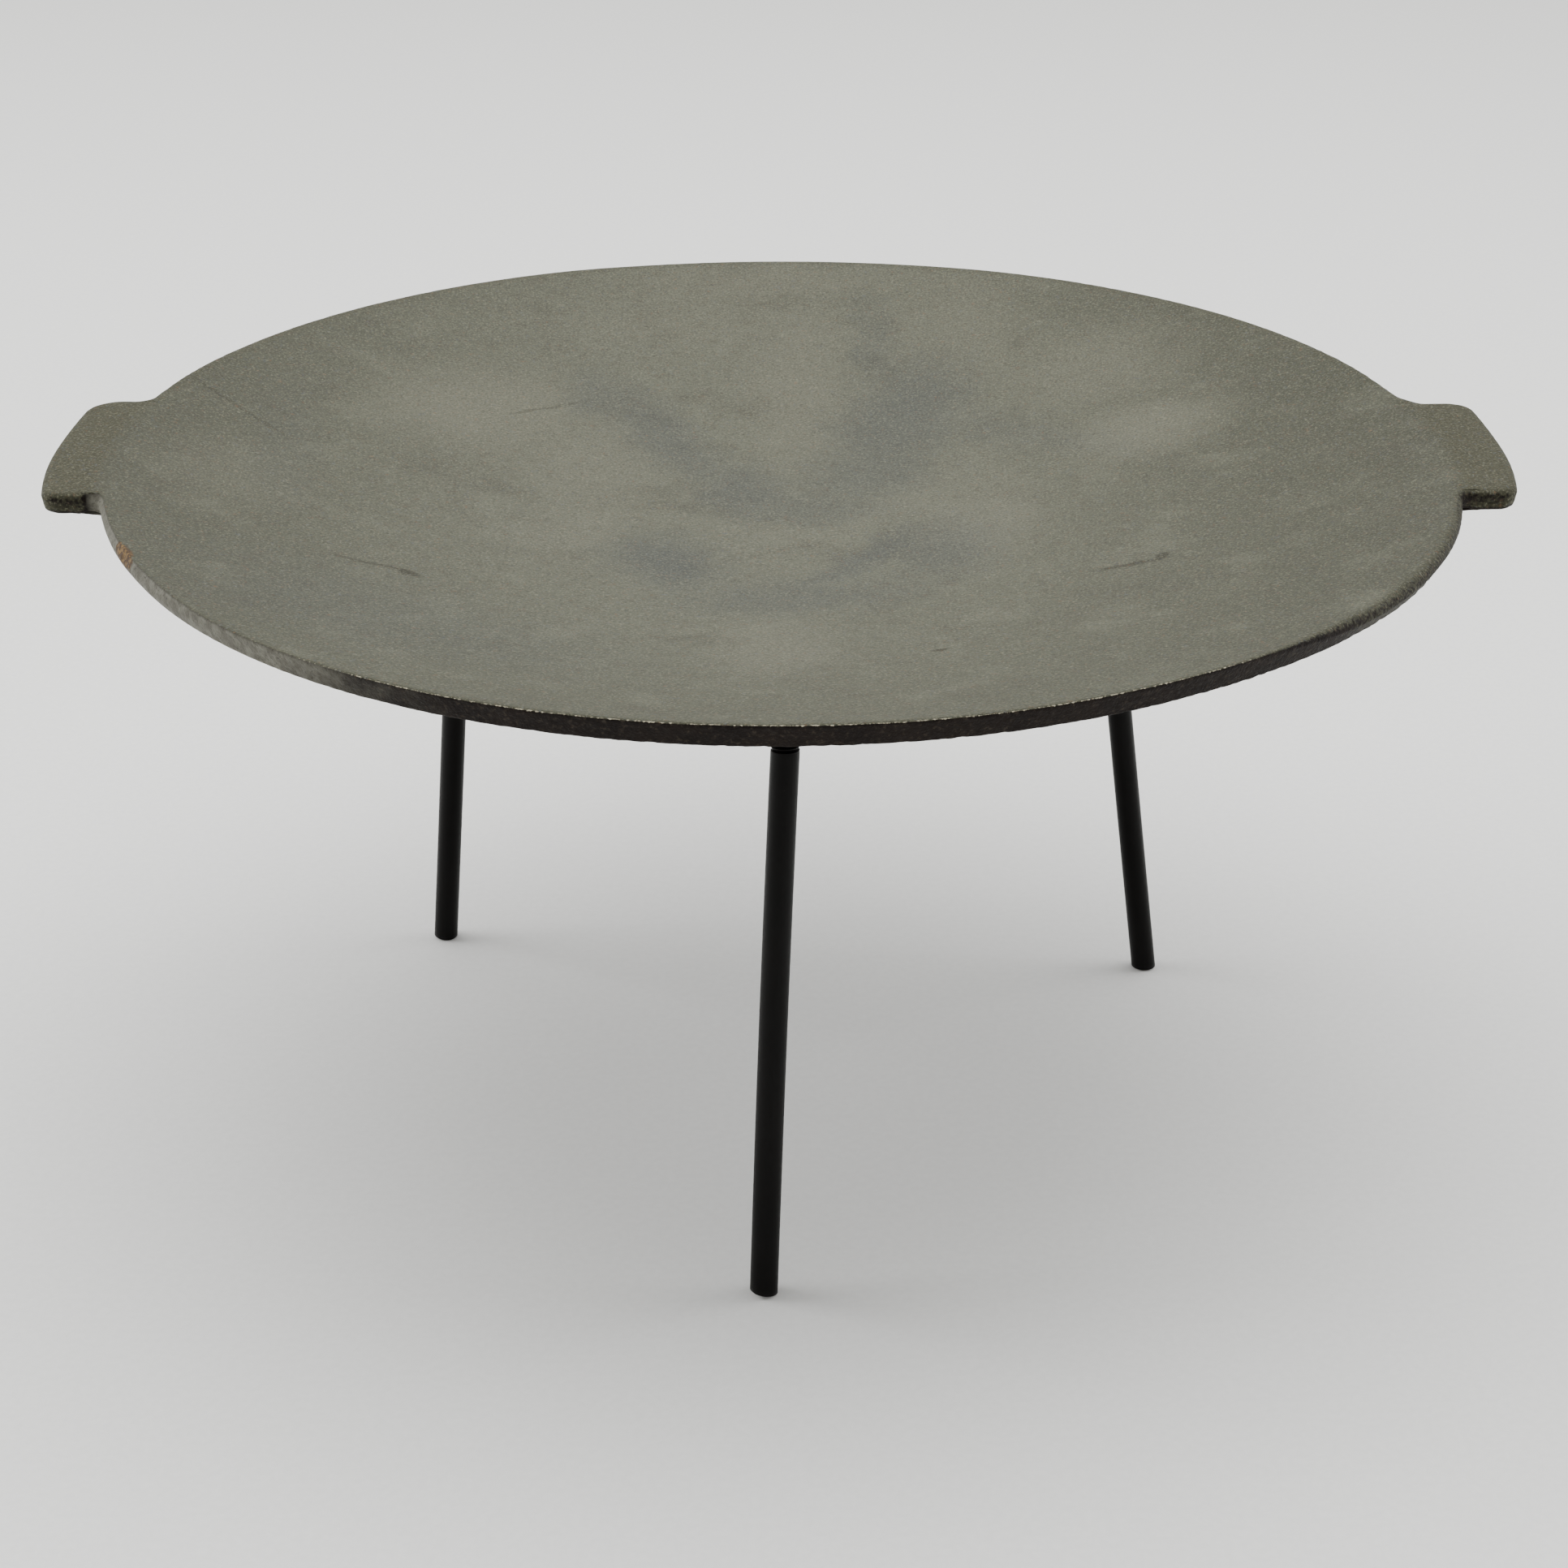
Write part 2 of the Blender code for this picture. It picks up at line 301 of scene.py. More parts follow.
class Rings:
    """Rings of points from the bowl's middle, over the edge and back under to the middle."""

    def __init__(self):
        self.points, self.skin, self.wear_and_highlight = [], [], []

    def add(self, points, skin, wear_and_highlight=0.0):
        self.points.append(points)
        self.skin.append(np.full(len(points), skin, float))
        self.wear_and_highlight.append(np.full(len(points), wear_and_highlight, float))


def ring_at(angles, radius, height):
    return np.stack([radius * np.cos(angles), radius * np.sin(angles), height + 0 * angles], 1)


def spread_angles(edge):
    """Directions for the collar ring: the outline's own, evened out where an ear's side crowds them."""
    angles = np.unwrap(np.arctan2(edge[:, 1], edge[:, 0]))
    even = np.arange(EDGE_POINTS) / EDGE_POINTS * TURN
    return even + smooth_round(angles - even, SPOKES_OVER)


def casting_rings():
    """All the casting's rings, in order from the bowl's middle to the underside's."""
    edge = casting_outline()
    out = outward(edge)
    directions = np.degrees(np.arctan2(edge[:, 1], edge[:, 0]))
    ear = ease(0, EAR_ROOT, np.linalg.norm(edge, axis=1) - RIM_RADIUS)
    soft = along(RUBBED_ROUND, directions) * (1 - ear)
    ground = along(GROUND_CUT, directions) * (1 - ear)
    crease = blend(RIM_CREASE, EAR_CREASE, ear)
    top_edge = blend(RIM_TOP_EDGE, EAR_TOP_EDGE, ear) + SOFT_EDGE * soft
    low_edge = blend(RIM_LOW_EDGE, EAR_LOW_EDGE, ear)
    cut = GROUND_BACK * ground
    draft = blend(RIM_DRAFT, EAR_DRAFT, ear) + GROUND_UNDER * ground
    angles = spread_angles(edge)
    collar = np.stack([np.cos(angles), np.sin(angles)], 1) * COLLAR

    def inset(depth):
        return edge - out * np.reshape(depth, (-1, 1))

    def lift(flat, height):
        return np.concatenate([flat, np.reshape(height, (-1, 1)) + np.zeros((len(flat), 1))], 1)

    rings = Rings()
    for radius in np.linspace(0, HALFWAY, 31)[1:]:
        rings.add(ring_at(angles[::4], radius, bowl_height(radius)), 0)
    for radius in np.linspace(HALFWAY, COLLAR, 35)[1:]:
        rings.add(ring_at(angles[::2], radius, bowl_height(radius)), 0)

    brink = inset(top_edge + cut)
    for share in np.linspace(0, 1, 11)[1:]:
        flat = blend(collar, brink, share)
        rings.add(lift(flat, top_height(np.linalg.norm(flat, axis=1), crease * share)), 0)
    brink_height = top_height(np.linalg.norm(brink, axis=1), crease)
    # The ears' sides keep more of the bowl's colour than the burnt rim does, and least of it in front. Their
    # dark skin is painted shade, darkest on the walls that face the front. On the rubbed right front the wall
    # keeps less skin, partly as painted light.
    faces_front = ease(0.8, 0.98, -out[:, 1])
    ear_shade = blend(EAR_SIDE_SHADE, EAR_FRONT_SHADE, faces_front)
    on_wall = blend(1, ear_shade, ear) * blend(1, RUBBED_SKIN_AND_LIGHT, soft)
    # The rubbed edge is painted pale: partly wear, partly a painted highlight along the front top edge.
    rubbed_and_highlit = blend(BRIGHT_ELSEWHERE, 1, along(RUBBED_BRIGHT_AND_HIGHLIT, directions)) * (1 - ground)
    rubbed_and_highlit *= blend(1, BRIGHT_ON_EARS, ear)
    for turn in (22, 45, 67, 90):
        roll = math.radians(turn)
        edge_ring = inset(cut + top_edge * (1 - math.sin(roll)))
        height = brink_height - top_edge * (1 - math.cos(roll))
        skin = on_wall * np.minimum(1, turn / 90 + 0.4 * soft)
        rings.add(lift(edge_ring, height), skin, rubbed_and_highlit * (1 - turn / 120))

    sole = inset(draft + low_edge)
    sole_height = bottom_height(np.linalg.norm(sole, axis=1), ear)
    wall_top = brink_height - top_edge
    wall_low = sole_height + low_edge
    # Down the ears' walls the skin thins towards the foot: painted light, for light bounced up from the
    # floor.
    for share in np.linspace(0, 1, 7)[1:]:
        bulge = GROUND_BULGE * ground * 4 * share * (1 - share)
        depth = blend(cut, draft, share) - bulge
        height = blend(wall_top, wall_low, share)
        rings.add(lift(inset(depth), height), on_wall * (1 - 0.5 * ear * share))
    # On the ears' lower rounded edge the skin thins too: painted light, for the floor's bounce.
    for turn in (35, 70, 90):
        roll = math.radians(turn)
        depth = draft + low_edge * (1 - math.cos(roll))
        rings.add(lift(inset(depth), wall_low - low_edge * math.sin(roll)), 1 - 0.6 * ear * (1 - turn / 90))
    for share in np.linspace(0, 1, 8)[1:]:
        flat = blend(sole, collar, share)
        rings.add(lift(flat, bottom_height(np.linalg.norm(flat, axis=1), ear)), 1)

    for radius in np.linspace(COLLAR, HALFWAY, 26)[1:]:
        rings.add(ring_at(angles[::2], radius, under_height(radius)), 1)
    for radius in np.linspace(HALFWAY, 0, 24)[1:-1]:
        rings.add(ring_at(angles[::4], radius, under_height(radius)), 1)
    return rings


def faces_between(first, count, second, next_count):
    """Faces from one ring of points to the next, which may have half or twice as many points."""
    faces = []
    for i in range(min(count, next_count)):
        if count == next_count:
            j = (i + 1) % count
            faces.append((first + i, second + i, second + j, first + j))
            continue
        coarse, fine = (first, second) if count < next_count else (second, first)
        low, high = coarse + i, coarse + (i + 1) % min(count, next_count)
        a, b, c = (fine + (2 * i + k) % max(count, next_count) for k in range(3))
        three = [(low, a, b), (low, b, high), (high, b, c)]
        faces += three if count < next_count else [face[::-1] for face in three]
    return faces


def casting_mesh():
    """The casting as a closed bmesh, with its skin and painted shade, and its wear and painted highlight, on
    each point.
    """
    rings = casting_rings()
    middle_top = [[0, 0, bowl_height(0.0)]]
    middle_low = [[0, 0, under_height(0.0)]]
    points = np.concatenate([middle_top, *rings.points, middle_low])
    skin = np.concatenate([[0], *rings.skin, [1]])
    wear_and_highlight = np.concatenate([[0], *rings.wear_and_highlight, [0]])
    faces = []
    start = 1
    counts = [len(ring) for ring in rings.points]
    faces += [(0, start + i, start + (i + 1) % counts[0]) for i in range(counts[0])]
    for count, next_count in zip(counts, counts[1:]):
        faces += faces_between(start, count, start + count, next_count)
        start += count
    last = len(points) - 1
    faces += [(last, start + (i + 1) % counts[-1], start + i) for i in range(counts[-1])]
    mesh = bpy.data.meshes.new("griddle_casting")
    mesh.from_pydata(points.tolist(), [], faces)
    for name, values in (("skin", skin), ("wear_and_highlight", wear_and_highlight)):
        mesh.attributes.new(name, "FLOAT", "POINT").data.foreach_set("value", values)
    edit = bmesh.new()
    edit.from_mesh(mesh)
    bpy.data.meshes.remove(mesh)
    return edit


# The legs' places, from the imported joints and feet


class Leg:
    """Where one leg stands: its shoulder, its axis and its sawn foot."""

    def __init__(self, name):
        joints = {joint["child"]: joint for joint in frame["joints"]}
        mounts = {mount["name"]: mount for mount in frame["record"]["mounts"]}
        self.name = name
        foot = mounts["foot_" + name]
        self.foot, self.foot_normal = Vector(foot["pos_m"]), Vector(foot["axis"])
        self.up = -Vector(joints["leg_" + name]["axis"]).normalized()
        self.length = (SHOULDER_HEIGHT - self.foot.z) / self.up.z
        self.shoulder = self.foot + self.up * self.length
        self.right = (Vector((1, 0, 0)) - self.up * self.up.x).normalized()
        self.back = self.up.cross(self.right)

    def at(self, angle, radius, height):
        """A point at this angle round the leg, this far out and this high above the shoulder."""
        return self.shoulder + self.up * height + self.spoke(angle) * radius

    def spoke(self, angle):
        return self.right * math.cos(angle) + self.back * math.sin(angle)


LEGS = [Leg(name) for name in ("front", "right", "left")]


def thread_radius(angle, height, crest, root, flats):
    """Radius of a right-hand M10 thread, whose crests and roots are flats joined by straight flanks."""
    crest_flat, root_flat = flats
    phase = (height / PITCH - angle / TURN + THREAD_TURNED) % 1
    from_crest = abs(phase - 0.5) * 2
    flank = (from_crest - crest_flat) / (1 - crest_flat - root_flat)
    return crest - (crest - root) * min(max(flank, 0), 1)


# The bosses under the dish


def boss_radius(height):
    return blend(BOSS_FACE_RADIUS, BOSS_ROOT_RADIUS, (height - NECK) / BOSS_LENGTH)


def boss_root(leg, angle):
    """How high the boss's side runs before it meets the underside."""
    low, high = NECK, NECK + 2 * BOSS_LENGTH
    for _ in range(30):
        middle = (low + high) / 2
        point = leg.at(angle, boss_radius(middle), middle)
        if point.z < under_height(math.hypot(point.x, point.y)):
            low = middle
        else:
            high = middle
    return low


def boss_rows(leg, angle):
    """One strip of a boss, from its bore's end out over its face and up into the dish's underside."""
    # The drill's point, the thread, the countersunk mouth, the face with its rounded edge and the side
    rows = [leg.at(angle, TAP_ROOT * share, BORE_TOP - TAP_ROOT * share / 2) for share in (0.35, 1.0)]
    for height in np.arange(BORE_TOP - TAP_ROOT / 2 - PITCH / 2, BORE_THREAD_LOW, -PITCH / 6):
        rows.append(leg.at(angle, thread_radius(angle, height, TAP_CREST, TAP_ROOT, TAP_FLATS), height))
    rows.append(leg.at(angle, BORE_MOUTH, NECK + COUNTERSINK))
    rows.append(leg.at(angle, BORE_MOUTH + COUNTERSINK, NECK))
    rows.append(leg.at(angle, BOSS_FACE_RADIUS - BOSS_EDGE, NECK))
    for turn in (35, 70):
        roll = math.radians(turn)
        height = NECK + BOSS_EDGE * (1 - math.cos(roll))
        rows.append(leg.at(angle, BOSS_FACE_RADIUS - BOSS_EDGE * (1 - math.sin(roll)), height))
    root = boss_root(leg, angle)
    for share in np.linspace(0, 1, 7)[1:]:
        height = blend(NECK + BOSS_EDGE, root - BOSS_FILLET, share)
        rows.append(leg.at(angle, boss_radius(height), height))
    # The fillet into the underside
    start = rows[-1]
    knee = leg.at(angle, boss_radius(root), root)
    out = leg.spoke(angle)
    end = Vector((knee.x + out.x * BOSS_FILLET, knee.y + out.y * BOSS_FILLET, 0))
    end.z = under_height(math.hypot(end.x, end.y))
    for share in (0.2, 0.4, 0.6, 0.8, 1.0):
        rest = 1 - share
        rows.append(start * rest**2 + knee * 2 * rest * share + end * share**2)
    return rows


def add_boss(edit, leg):
    """Cuts the underside open round a leg and closes it again with the tapped boss."""
    skin = edit.verts.layers.float["skin"]
    root = leg.at(0, 0, boss_root(leg, 0))
    clear = BOSS_ROOT_RADIUS + BOSS_FILLET + 4 * MM
    gone = [
        face
        for face in edit.faces
        if face.verts[0][skin] == 1 and all((vert.co.xy - root.xy).length < clear for vert in face.verts)
    ]
    bmesh.ops.delete(edit, geom=gone, context="FACES")
    hole = [e for e in edit.edges if len(e.link_faces) == 1]
    strips = [boss_rows(leg, TURN * i / BOSS_SIDES) for i in range(BOSS_SIDES)]
    made = [[edit.verts.new(point) for point in strip] for strip in strips]
    tip = edit.verts.new(leg.shoulder + leg.up * BORE_TOP)
    for strip in made:
        for vert in strip:
            vert[skin] = 1
    tip[skin] = 1
    for strip, following in zip(made, made[1:] + made[:1]):
        edit.faces.new((tip, strip[0], following[0]))
        for low, high, next_low, next_high in zip(strip, strip[1:], following, following[1:]):
            edit.faces.new((low, high, next_high, next_low))
    collar = [edit.edges.get((a[-1], b[-1])) for a, b in zip(made, made[1:] + made[:1])]
    bmesh.ops.bridge_loops(edit, edges=hole + collar)


# The sandy skin: what the mould's grains leave on the iron


def lumps(point, size, seed):
    """Smooth noise from 0 to 1 with lumps about this size."""
    return 0.5 + 0.5 * noise.noise(point / size + Vector((seed, -seed, 2 * seed)))


def fettled_and_lit_share(point, skin):
    """1 on the stretch of rim wall that was ground smooth after casting and is painted pale, partly as light
    from the left lamp, and 0 elsewhere.
    """
    # Its ends wander by up to 4.5 degrees, and it takes in neither the ear's side nor the underside.
    direction = math.degrees(math.atan2(point.y, point.x)) + 9 * (lumps(point, 9 * MM, 3) - 0.5)
    from_wall = abs(point.xy.length - (RIM_RADIUS - 2 * MM))
    on_wall = from_wall < 3.5 * MM and point.z > RIM_TOP - 9 * MM
    return float(along(GROUND_AND_LIT_LOOK, direction)) * skin * on_wall


def in_a_bore(point):
    """Whether this place is in one of the bores, whose threads were cut after casting."""
    for leg in LEGS:
        from_shoulder = point - leg.shoulder
        beside, above = from_shoulder.cross(leg.up).length, from_shoulder.dot(leg.up)
        if beside < BOSS_FACE_RADIUS - 1 * MM and above > NECK - 0.5 * MM:
            return True
    return False


def chip_place(direction, down):
    turn = math.radians(direction)
    return Vector((CHIPPED_RADIUS * math.cos(turn), CHIPPED_RADIUS * math.sin(turn), RIM_TOP - down))


def roughen(edit):
    """Sinks the surface by what the sand left, and marks the fettled wall, whose pale colour is partly
    painted light, and the rusty chips.
    """
    skin, wear_and_highlight = (edit.verts.layers.float[name] for name in ("skin", "wear_and_highlight"))
    fettled_and_lit, rust = (edit.verts.layers.float.new(name) for name in ("fettled_and_lit", "rust"))
    chips = [(chip_place(direction, down), reach, deep) for direction, down, reach, deep in CHIPS]
    edit.normal_update()
    sunk = []
    for vert in edit.verts:
        spot = vert.co.copy()
        smooth = fettled_and_lit_share(spot, vert[skin])
        vert[fettled_and_lit] = smooth
        if vert[skin] == 1 and in_a_bore(spot):
            continue
        grain = lumps(spot, LUMP_WIDTH, 7) ** 2
        rough = BOWL_LUMPS + SKIN_LUMPS * vert[skin] * (1 - 0.8 * smooth) + RUBBED_LUMPS * vert[wear_and_highlight]
        depth = rough * grain + SWELLS * lumps(spot, SWELL_WIDTH, 11)
        for place, reach, deep in chips:
            away = (spot - place).length
            edge_of_bite = reach * (0.8 + 0.5 * lumps(spot, 1.5 * MM, 19))
            depth += deep * (1 - ease(0.3 * reach, edge_of_bite, away))
            vert[rust] = max(vert[rust], 1 - float(ease(reach * 0.8, reach * 2.2, away)))
        sunk.append((vert, vert.normal * depth))
    for vert, shift in sunk:
        vert.co -= shift


# Building pieces


def new_piece(name, mesh, materials, body, node):
    piece = bpy.data.objects.new(name, mesh)
    bpy.context.scene.collection.objects.link(piece)
    for material in materials:
        mesh.materials.append(material)
    mesh.shade_smooth()
    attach(piece, body)
    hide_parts(node)
    return piece


def make_casting(iron):
    edit = casting_mesh()
    for leg in LEGS:
        add_boss(edit, leg)
    bmesh.ops.recalc_face_normals(edit, faces=edit.faces)
    roughen(edit)
    mesh = bpy.data.meshes.new("griddle_casting")
    edit.to_mesh(mesh)
    edit.free()
    return new_piece("griddle_casting", mesh, [iron], "dish", "dish")


def leg_radius(angle, height):
    """Radius of the leg: chamfered tip, cut thread, its run-out at the shoulder, then plain bar."""
    if height <= 0:
        return BAR_RADIUS
    thread = thread_radius(angle, height, THREAD_CREST, THREAD_ROOT, THREAD_FLATS)
    radius = blend(BAR_RADIUS, thread, float(ease(*THREAD_RUN_OUT, height)))
    return min(radius, TIP_RADIUS + (STUD_TOP - height))


def leg_heights(leg):
    """Heights of the leg's rings: close along the thread, open along the bar."""
    threaded = list(np.arange(STUD_TOP, 0, -PITCH / 12))
    bar = list(np.linspace(0, FOOT_BLEND - leg.length, 28))
    foot = list(np.linspace(FOOT_BLEND - leg.length, FOOT_CHAMFER - leg.length, 5)[1:])
    return threaded + bar + foot


def leg_point(leg, angle, radius, height):
    """A point on the leg, with the bar's slight bow and the slant that the saw gave its foot."""
    low = min(max(-height / leg.length, 0), 1)
    bow = leg.right * (-LEG_BOW[leg.name] * math.sin(math.pi * low))
    slant = ease(leg.length - FOOT_BLEND, leg.length, -height)
    shift = -leg.spoke(angle).dot(leg.foot_normal) / leg.up.dot(leg.foot_normal) * radius
    return leg.at(angle, radius, height + float(slant) * shift) + bow


def make_leg(leg, coat, sawn):
    """One leg as a closed mesh, from its stud's tip down to its sawn foot."""
    angles = [TURN * i / LEG_SIDES for i in range(LEG_SIDES)]
    rows = [[leg_point(leg, a, leg_radius(a, h), h) for a in angles] for h in leg_heights(leg)]
    for radius in FOOT_RINGS:
        rows.append([leg_point(leg, a, radius, -leg.length) for a in angles])
    mesh = bpy.data.meshes.new("bar_leg_" + leg.name)
    points = [point for row in rows for point in row]
    tip, sole = len(points), len(points) + 1
    points += [leg.at(0, 0, STUD_TOP), leg.foot.copy()]
    faces = [(i, (i + 1) % LEG_SIDES, tip) for i in range(LEG_SIDES)]
    for row in range(len(rows) - 1):
        first = row * LEG_SIDES
        for i in range(LEG_SIDES):
            j = (i + 1) % LEG_SIDES
            faces.append((first + i, first + LEG_SIDES + i, first + LEG_SIDES + j, first + j))
    last = (len(rows) - 1) * LEG_SIDES
    faces += [(sole, last + (i + 1) % LEG_SIDES, last + i) for i in range(LEG_SIDES)]
    mesh.from_pydata(points, [], faces)
    edit = bmesh.new()
    edit.from_mesh(mesh)
    bmesh.ops.recalc_face_normals(edit, faces=edit.faces)
    for face in edit.faces:
        faces_down = face.normal.dot(leg.foot_normal) > 0.95
        if faces_down and (face.verts[0].co - leg.foot).length < BAR_RADIUS + 1 * MM:
            face.material_index = 1
    edit.to_mesh(mesh)
    edit.free()
    name = "leg_" + leg.name
    return new_piece("bar_" + name, mesh, [coat, sawn], name, name)


# Materials


def linear(hex_colour):
    """A linear colour from an sRGB hex value."""
    channels = [int(hex_colour[i : i + 2], 16) / 255 for i in (0, 2, 4)]
    return [c / 12.92 if c <= 0.04045 else ((c + 0.055) / 1.055) ** 2.4 for c in channels] + [1]


def add(tree, kind, inputs=None, output=0, **settings):
    """Adds a node with its settings, fills its inputs with values, hex colours or links, and gives an output.

    A colour Mix has its share in input 0, its colours in inputs 6 and 7, and its result in output 2."""
    node = tree.nodes.new(kind)
    for name, value in settings.items():
        setattr(node, name, value)
    for socket, value in (inputs or {}).items():
        if isinstance(value, bpy.types.NodeSocket):
            tree.links.new(value, node.inputs[socket])
        else:
            node.inputs[socket].default_value = linear(value) if isinstance(value, str) else value
    return node.outputs[output]


def new_material(name):
    material = bpy.data.materials.new(name)
    material.use_nodes = True
    tree = material.node_tree
    return material, tree, tree.nodes["Principled BSDF"]


def scattered(tree, under, over, place, size, none_at, most_at, most=1.0, detail=3.0):
    """One colour scattered over another in lumps of about this size, where noise lies between two levels."""
    noisy = {"Vector": place, "Scale": 1 / size, "Detail": detail, "Roughness": 0.6}
    lump = add(tree, "ShaderNodeTexNoise", noisy)
    levels = {"Value": lump, "From Min": none_at, "From Max": most_at, "To Max": most}
    share = add(tree, "ShaderNodeMapRange", levels, interpolation_type="SMOOTHSTEP")
    return add(tree, "ShaderNodeMix", {0: share, 6: under, 7: over}, 2, data_type="RGBA")


# Stains on the bowl: (x, y, half length, half width, direction in degrees, strength), lengths in mm
HEAT_STAINS = (
    (-46, 98, 52, 16, 120, 0.46),
    (-74, 132, 20, 14, 110, 0.35),
    (-14, 50, 26, 18, 100, 0.5),
    (8, 36, 38, 16, 170, 0.35),
    (50, 116, 50, 26, 72, 0.5),
    (38, 70, 34, 24, 50, 0.4),
    (98, 94, 50, 15, 145, 0.25),
    (41, 178, 38, 9, 95, 0.3),
    (-42, -26, 30, 20, 112, 0.6),
    (32, -20, 46, 8, 54, 0.5),
    (62, -14, 34, 20, 80, 0.42),
    (8, -62, 44, 20, 10, 0.4),
    (-130, -122, 80, 40, 150, 0.22),
    (-190, 40, 60, 14, 95, 0.15),
)
PALE_PATCHES = (
    (8, 146, 74, 20, 88, 0.7),
    (52, 41, 56, 10, 50, 0.5),
    (78, 16, 46, 24, 84, 0.7),
    (133, 140, 40, 34, 30, 0.6),
    (145, 80, 34, 24, 30, 0.9),
    (-72, 66, 44, 26, 100, 0.55),
    (-78, 0, 34, 20, 80, 0.4),
    (-120, 110, 44, 34, 20, 0.9),
    (0, 232, 70, 14, 0, 0.6),
    (-205, 5, 36, 28, 90, 0.3),
    (0, -126, 38, 22, 90, 0.6),
    (78, 190, 60, 30, 100, 0.5),
    (-40, 200, 60, 24, 10, 0.4),
    (0, 8, 26, 10, 0, 0.3),
)
MOULD_SCARS = (
    (127, -52, 13, 1.6, 8, 0.8),
    (139, -48, 4, 2.2, 60, 1.0),
    (-146, -60, 15, 1.2, -8, 0.6),
    (-132, -64, 5, 2.4, -30, 0.9),
    (-212, 68, 30, 1.0, -38, 0.5),
    (-96, 116, 18, 1.0, 32, 0.4),
    (55, -133, 3.2, 1.5, 20, 1.0),
)


def patches(tree, place, ovals, none_at, most_at):
    """How strongly any of these soft ovals covers each place."""
    most_so_far = 0.0
    for x, y, half_length, half_width, turn, strength in ovals:
        oval = {
            "Vector": place,
            "Location": (x * MM, y * MM, 0),
            "Rotation": (0, 0, math.radians(turn)),
            "Scale": (half_length * MM, half_width * MM, 1),
        }
        across = add(tree, "ShaderNodeMapping", oval, vector_type="TEXTURE")
        across = add(tree, "ShaderNodeVectorMath", {0: across, 1: (1, 1, 0)}, operation="MULTIPLY")
        reach = add(tree, "ShaderNodeVectorMath", {0: across}, "Value", operation="LENGTH")
        levels = {"Value": reach, "From Min": none_at, "From Max": most_at, "To Max": strength}
        oval_share = add(tree, "ShaderNodeMapRange", levels, interpolation_type="SMOOTHSTEP")
        most_so_far = add(tree, "ShaderNodeMath", {0: oval_share, 1: most_so_far}, operation="MAXIMUM")
    return most_so_far


def ragged(tree, place, size, push):
    """The same place, pushed about sideways, so that the edges of what is drawn there wander."""
    noisy = {"Vector": place, "Scale": 1 / size, "Detail": 6.0, "Roughness": 0.7}
    wander = add(tree, "ShaderNodeTexNoise", noisy, "Color")
    centred = add(tree, "ShaderNodeVectorMath", {0: wander, 1: (0.5, 0.5, 0.5)}, operation="SUBTRACT")
    pushed = add(tree, "ShaderNodeVectorMath", {0: centred, 1: (push, push, 0)}, operation="MULTIPLY")
    return add(tree, "ShaderNodeVectorMath", {0: place, 1: pushed}, operation="ADD")


def bowl_colour(tree, place):
    """Olive-grey iron with a painted pool of light, lightest in the middle and towards the back, painted
    shade on the ears, and stained blue-grey by heat.
    """
    # A painted pool of light: the bowl is lighter in a broad oval set towards the back, and darker towards
    # the rim.
    painted_light_pool = patches(tree, place, ((-18, 90, 255, 420, 0, 1.0),), 1.12, 0.15)
    colour = add(tree, "ShaderNodeMix", {0: painted_light_pool, 6: "414237", 7: "5a5b4f"}, 2, data_type="RGBA")
    colour = scattered(tree, colour, "67685a", place, 26 * MM, 0.48, 0.76, 0.34, 5.0)
    colour = scattered(tree, colour, "403f37", place, 30 * MM, 0.50, 0.24, 0.45, 5.0)
    colour = scattered(tree, colour, "48443a", place, 6 * MM, 0.52, 0.28, 0.4, 5.0)
    wandering = ragged(tree, place, 20 * MM, 36 * MM)
    pale = patches(tree, wandering, PALE_PATCHES, 1.5, 0.2)
    colour = add(tree, "ShaderNodeMix", {0: pale, 6: colour, 7: "616154"}, 2, data_type="RGBA")
    dark = patches(tree, wandering, HEAT_STAINS, 1.55, 0.25)
    colour = add(tree, "ShaderNodeMix", {0: dark, 6: colour, 7: "414443"}, 2, data_type="RGBA")
    # The flat ears are painted darker than the bowl: painted shade, for how the light falls on their flat
    # tops.
    radius = add(tree, "ShaderNodeVectorMath", {0: place, 1: (1, 1, 0)}, operation="MULTIPLY")
    radius = add(tree, "ShaderNodeVectorMath", {0: radius}, "Value", operation="LENGTH")
    ear_from, ear_full = RIM_RADIUS - 6 * MM, RIM_RADIUS + 3 * MM
    levels = {"Value": radius, "From Min": ear_from, "From Max": ear_full, "To Max": 0.75}
    ear_shade = add(tree, "ShaderNodeMapRange", levels, interpolation_type="SMOOTHSTEP")
    colour = add(tree, "ShaderNodeMix", {0: ear_shade, 6: colour, 7: "393828"}, 2, data_type="RGBA")
    scars = patches(tree, ragged(tree, place, 6 * MM, 5 * MM), MOULD_SCARS, 1.4, 0.6)
    colour = add(tree, "ShaderNodeMix", {0: scars, 6: colour, 7: "34332a"}, 2, data_type="RGBA")
    # Moulding sand of 0.2 to 0.4 mm leaves the grain, drawn here at 1 mm so that it shows.
    colour = scattered(tree, colour, "24241f", place, 0.9 * MM, 0.52, 0.26, 0.5)
    colour = scattered(tree, colour, "8d8c77", place, 0.9 * MM, 0.50, 0.76, 0.45)
    colour = scattered(tree, colour, "7d5a42", place, 1.6 * MM, 0.60, 0.75, 0.4)
    return scattered(tree, colour, "565d66", place, 1.5 * MM, 0.42, 0.28, 0.35)


